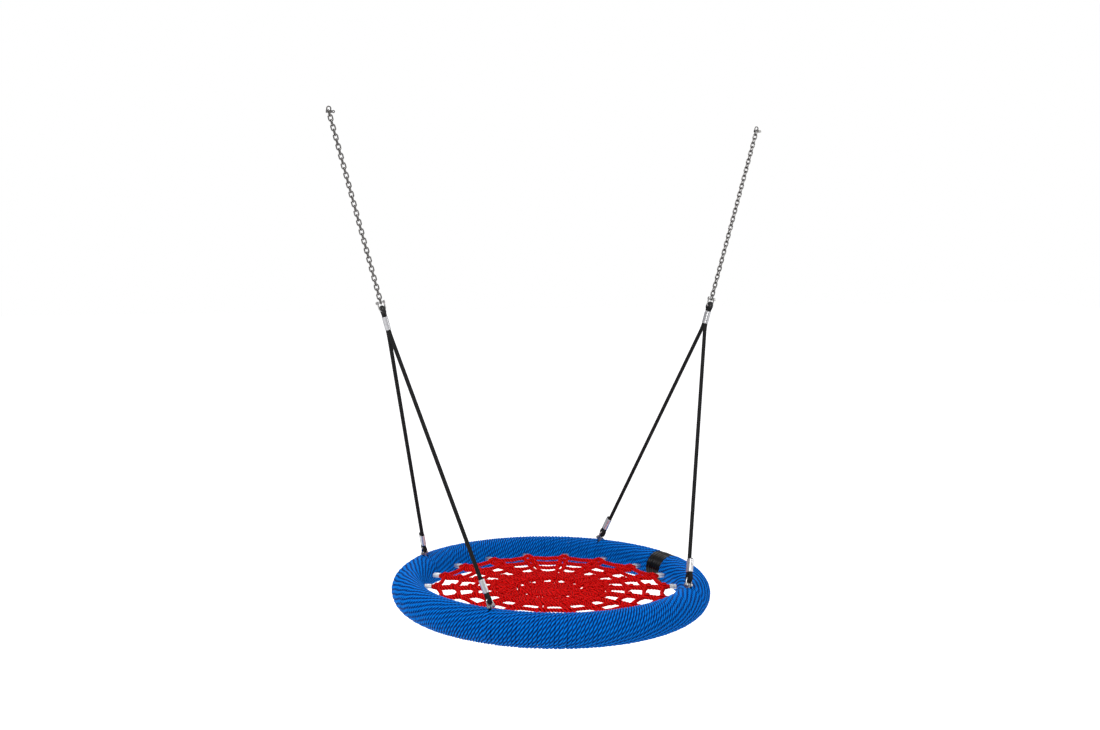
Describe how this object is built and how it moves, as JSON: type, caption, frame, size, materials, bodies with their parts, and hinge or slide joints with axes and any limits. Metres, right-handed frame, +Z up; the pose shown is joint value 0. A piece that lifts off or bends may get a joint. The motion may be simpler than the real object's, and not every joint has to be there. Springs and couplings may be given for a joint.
{
  "type": "saucer nest swing",
  "caption": "Nest swing: a rope-wound padded ring with a woven rope net, hung at four lugs by two rope bridles with pressed eyes, and by two short-link chains with shackles.",
  "frame": {"origin": "under the middle of the ring, at the level of its lowest point", "axes": "+Z up; +X from the left hanging point to the right one, seen from the front; the seat swings along Y"},
  "size_m": [1.7209, 1.1998, 1.8188],
  "materials": {
    "stainless": "polished stainless steel",
    "aluminium": "satin pressed aluminium",
    "clip_metal": "satin, ribbed by pressing",
    "galvanised_steel": "galvanised",
    "black_plastic": "matte",
    "black_rope": "braided, slightly shiny fibre",
    "blue_rope": "three-strand laid fibre, satin",
    "red_rope": "three-strand laid fibre, satin",
    "foam": "closed-cell foam",
    "black_tape": "glossy"
  },
  "bodies": {
    "hangers": {"left_top_shackle_bow": "stainless", "left_top_shackle_pin": "stainless", "right_top_shackle_bow": "stainless", "right_top_shackle_pin": "stainless"},
    "left_chain_line": {"left_chain": "stainless", "left_joining_shackle_bow": "stainless", "left_joining_shackle_pin": "stainless"},
    "right_chain_line": {"right_chain": "stainless", "right_joining_shackle_bow": "stainless", "right_joining_shackle_pin": "stainless"},
    "seat": {"left_rope": "black_rope", "left_apex_thimble": "black_plastic", "left_apex_ferrule": "aluminium", "right_rope": "black_rope", "right_apex_thimble": "black_plastic", "right_apex_ferrule": "aluminium", "front_left_ferrule": "aluminium", "front_left_thimble": "black_plastic", "front_left_shackle_bow": "stainless", "front_left_shackle_pin": "stainless", "front_left_ring_lug": "galvanised_steel", "front_right_ferrule": "aluminium", "front_right_thimble": "black_plastic", "front_right_shackle_bow": "stainless", "front_right_shackle_pin": "stainless", "front_right_ring_lug": "galvanised_steel", "back_left_ferrule": "aluminium", "back_left_thimble": "black_plastic", "back_left_shackle_bow": "stainless", "back_left_shackle_pin": "stainless", "back_left_ring_lug": "galvanised_steel", "back_right_ferrule": "aluminium", "back_right_thimble": "black_plastic", "back_right_shackle_bow": "stainless", "back_right_shackle_pin": "stainless", "back_right_ring_lug": "galvanised_steel", "ring_tube": "galvanised_steel", "ring_foam": "foam", "net_anchor_loops": "red_rope", "rim_winding_right": "blue_rope", "rim_winding_back": "blue_rope", "rim_winding_left": "blue_rope", "rim_winding_front": "blue_rope", "rim_lashing": "black_tape", "net_row_1": "red_rope", "net_row_2": "red_rope", "net_row_3": "red_rope", "net_row_4": "red_rope", "net_close_band": "red_rope", "net_star_row": "red_rope", "net_hub": "red_rope", "net_clips": "clip_metal"}
  },
  "joints": [
    {"name": "left_chain_swing", "type": "hinge", "parent": "hangers", "child": "left_chain_line", "pos_m": [-0.84485, 0, 1.79959], "axis": [1, 0, 0], "range_deg": [-60, 60]},
    {"name": "right_chain_swing", "type": "hinge", "parent": "hangers", "child": "right_chain_line", "pos_m": [0.84485, 0, 1.79959], "axis": [1, 0, 0], "range_deg": [-60, 60]},
    {"name": "seat_swing", "type": "hinge", "parent": "left_chain_line", "child": "seat", "pos_m": [-0.65549, 0, 1.11676], "axis": [1, 0, 0], "range_deg": [-30, 30]}
  ],
  "couplings": [
    {"joint": "right_chain_swing", "follows": "left_chain_swing", "ratio": 1}
  ]
}
